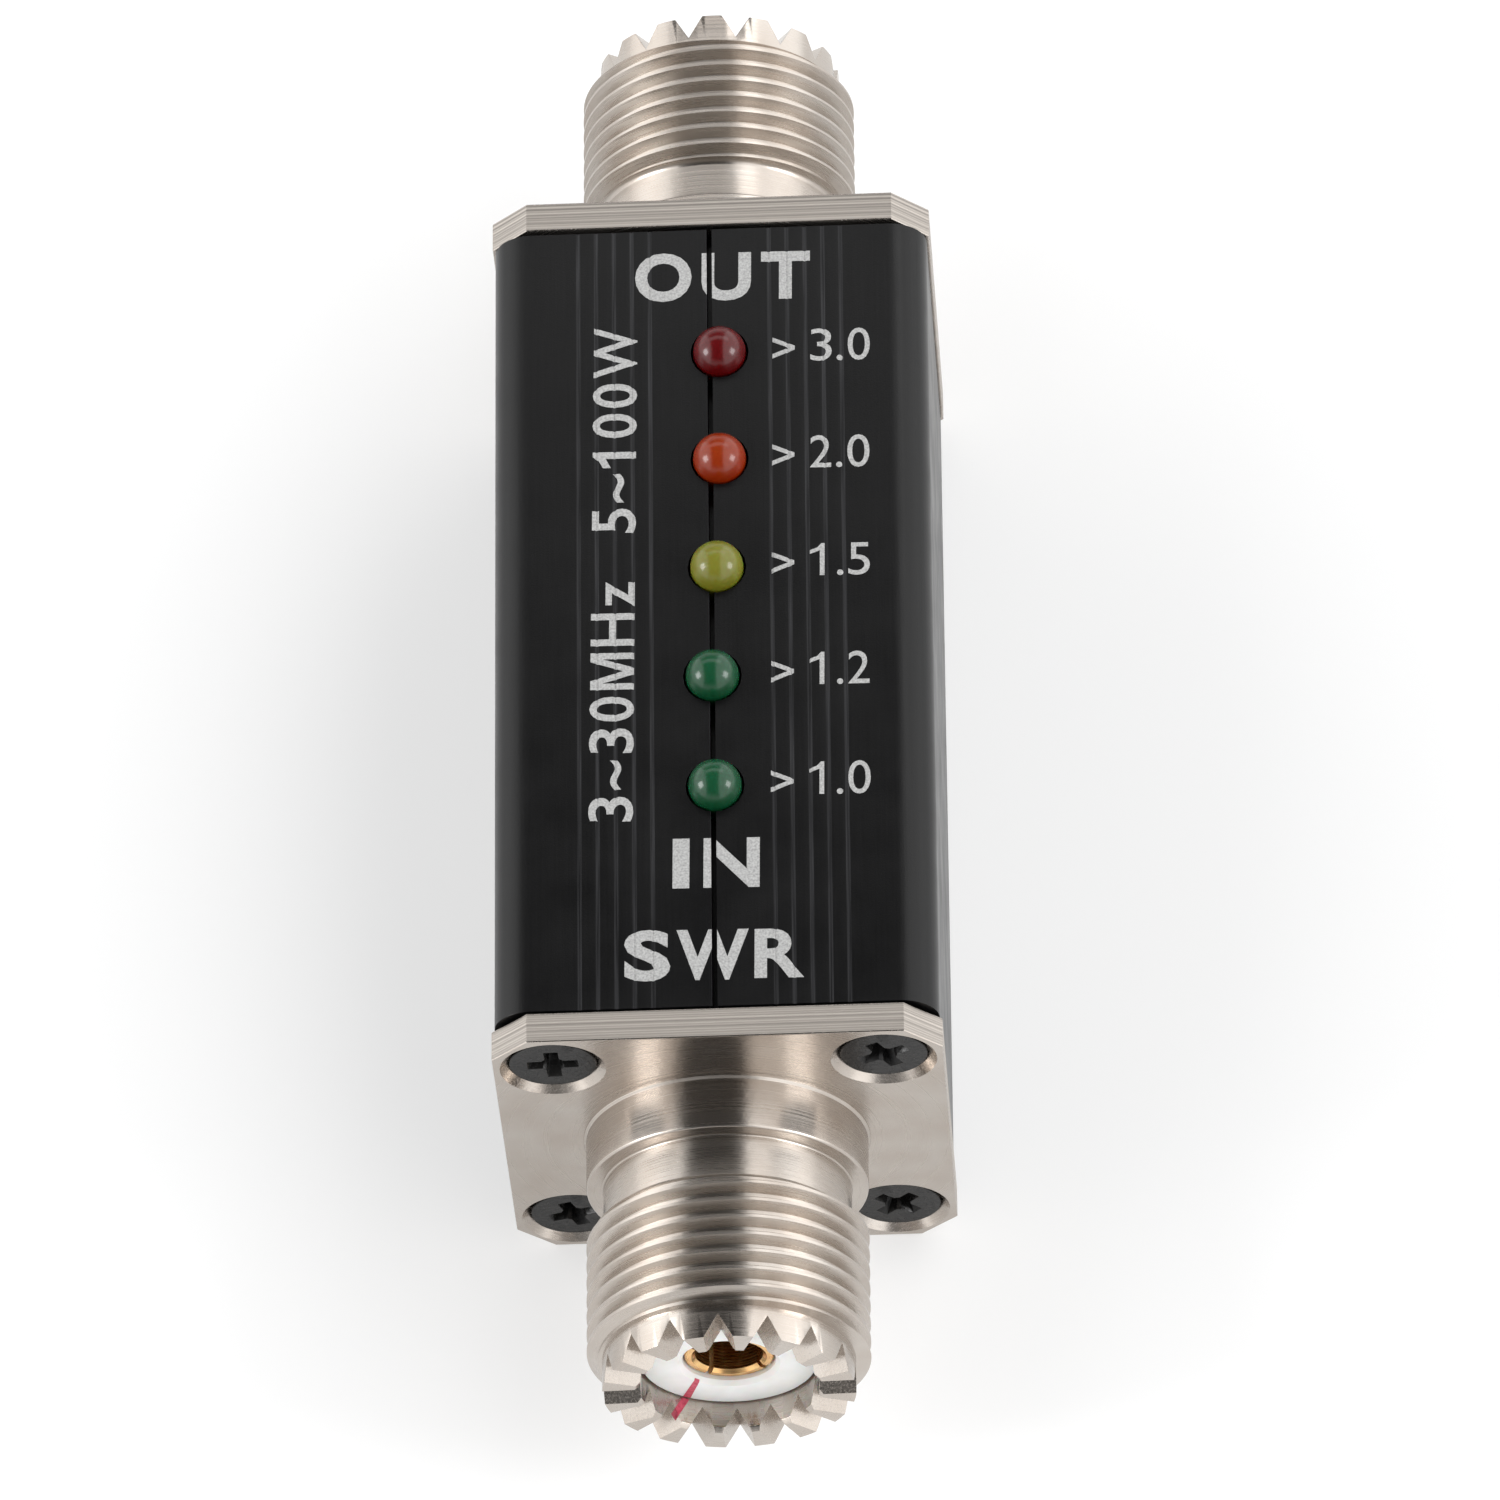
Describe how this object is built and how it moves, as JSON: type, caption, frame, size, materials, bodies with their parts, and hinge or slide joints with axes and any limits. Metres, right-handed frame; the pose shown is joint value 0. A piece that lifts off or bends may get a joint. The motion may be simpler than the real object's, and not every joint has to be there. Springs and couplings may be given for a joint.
{
  "type": "swr meter",
  "caption": "Inline HF SWR meter: split black extruded housing with a row of lamps between two square-flange threaded coaxial sockets.",
  "frame": {"origin": "under the middle of the part, on the plane that its flanges rest on", "axes": "+Y along the through line from the IN socket to the OUT socket, +Z out of the lamp face, +X to the right of the lamp face with OUT up"},
  "size_m": [0.025, 0.0854, 0.0264],
  "materials": {
    "anodised_housing": "black satin anodised extrusion, fine matt grain",
    "nickel_plate": "bright warm nickel plate over turned brass, fine turning lines",
    "black_screw": "black oxide steel, satin",
    "ptfe": "milky white, waxy",
    "gold_plate": "thin gold plate, satin",
    "tinned_wire": "tinned copper",
    "board_laminate": "green solder mask",
    "ferrite": "matt grey ferrite",
    "enamelled_wire": "copper wire under clear enamel",
    "chip_black": "moulded black epoxy",
    "ceramic": "fired ceramic",
    "diode_glass": "orange glass",
    "capacitor_sleeve": "dark shrink sleeve",
    "lamp_green": "diffused green epoxy, unlit",
    "lamp_yellow": "diffused yellow-green epoxy, unlit",
    "lamp_orange": "diffused orange epoxy, unlit",
    "lamp_red": "diffused red epoxy, unlit",
    "legend_print": "laser-marked pale grey legend",
    "pen_mark": "red felt-pen inspection stroke"
  },
  "bodies": {
    "root": {"left_half_shell": "anodised_housing", "right_half_shell": "anodised_housing", "in_socket_shell": "nickel_plate", "in_insulator": "ptfe", "in_centre_contact": "gold_plate", "in_flange_screw_1": "black_screw", "in_flange_screw_2": "black_screw", "in_flange_screw_3": "black_screw", "in_flange_screw_4": "black_screw", "out_socket_shell": "nickel_plate", "out_insulator": "ptfe", "out_centre_contact": "gold_plate", "out_flange_screw_1": "black_screw", "out_flange_screw_2": "black_screw", "out_flange_screw_3": "black_screw", "out_flange_screw_4": "black_screw", "lamp_1": "lamp_green", "lamp_1_cathode_lead": "tinned_wire", "lamp_1_anode_lead": "tinned_wire", "lamp_1_resistor": "chip_black", "lamp_2": "lamp_green", "lamp_2_cathode_lead": "tinned_wire", "lamp_2_anode_lead": "tinned_wire", "lamp_2_resistor": "chip_black", "lamp_3": "lamp_yellow", "lamp_3_cathode_lead": "tinned_wire", "lamp_3_anode_lead": "tinned_wire", "lamp_3_resistor": "chip_black", "lamp_4": "lamp_orange", "lamp_4_cathode_lead": "tinned_wire", "lamp_4_anode_lead": "tinned_wire", "lamp_4_resistor": "chip_black", "lamp_5": "lamp_red", "lamp_5_cathode_lead": "tinned_wire", "lamp_5_anode_lead": "tinned_wire", "lamp_5_resistor": "chip_black", "through_line": "tinned_wire", "line_sleeve": "ptfe", "line_tap_wire": "tinned_wire", "current_transformer_core": "ferrite", "current_transformer_winding": "enamelled_wire", "voltage_transformer_core": "ferrite", "voltage_transformer_winding": "enamelled_wire", "circuit_board": "board_laminate", "comparator_chip_1": "chip_black", "comparator_chip_2": "chip_black", "storage_capacitor": "capacitor_sleeve", "forward_diode": "diode_glass", "forward_load_resistor": "chip_black", "forward_filter_capacitor": "ceramic", "reflected_diode": "diode_glass", "reflected_load_resistor": "chip_black", "reflected_filter_capacitor": "ceramic"}
  },
  "joints": []
}
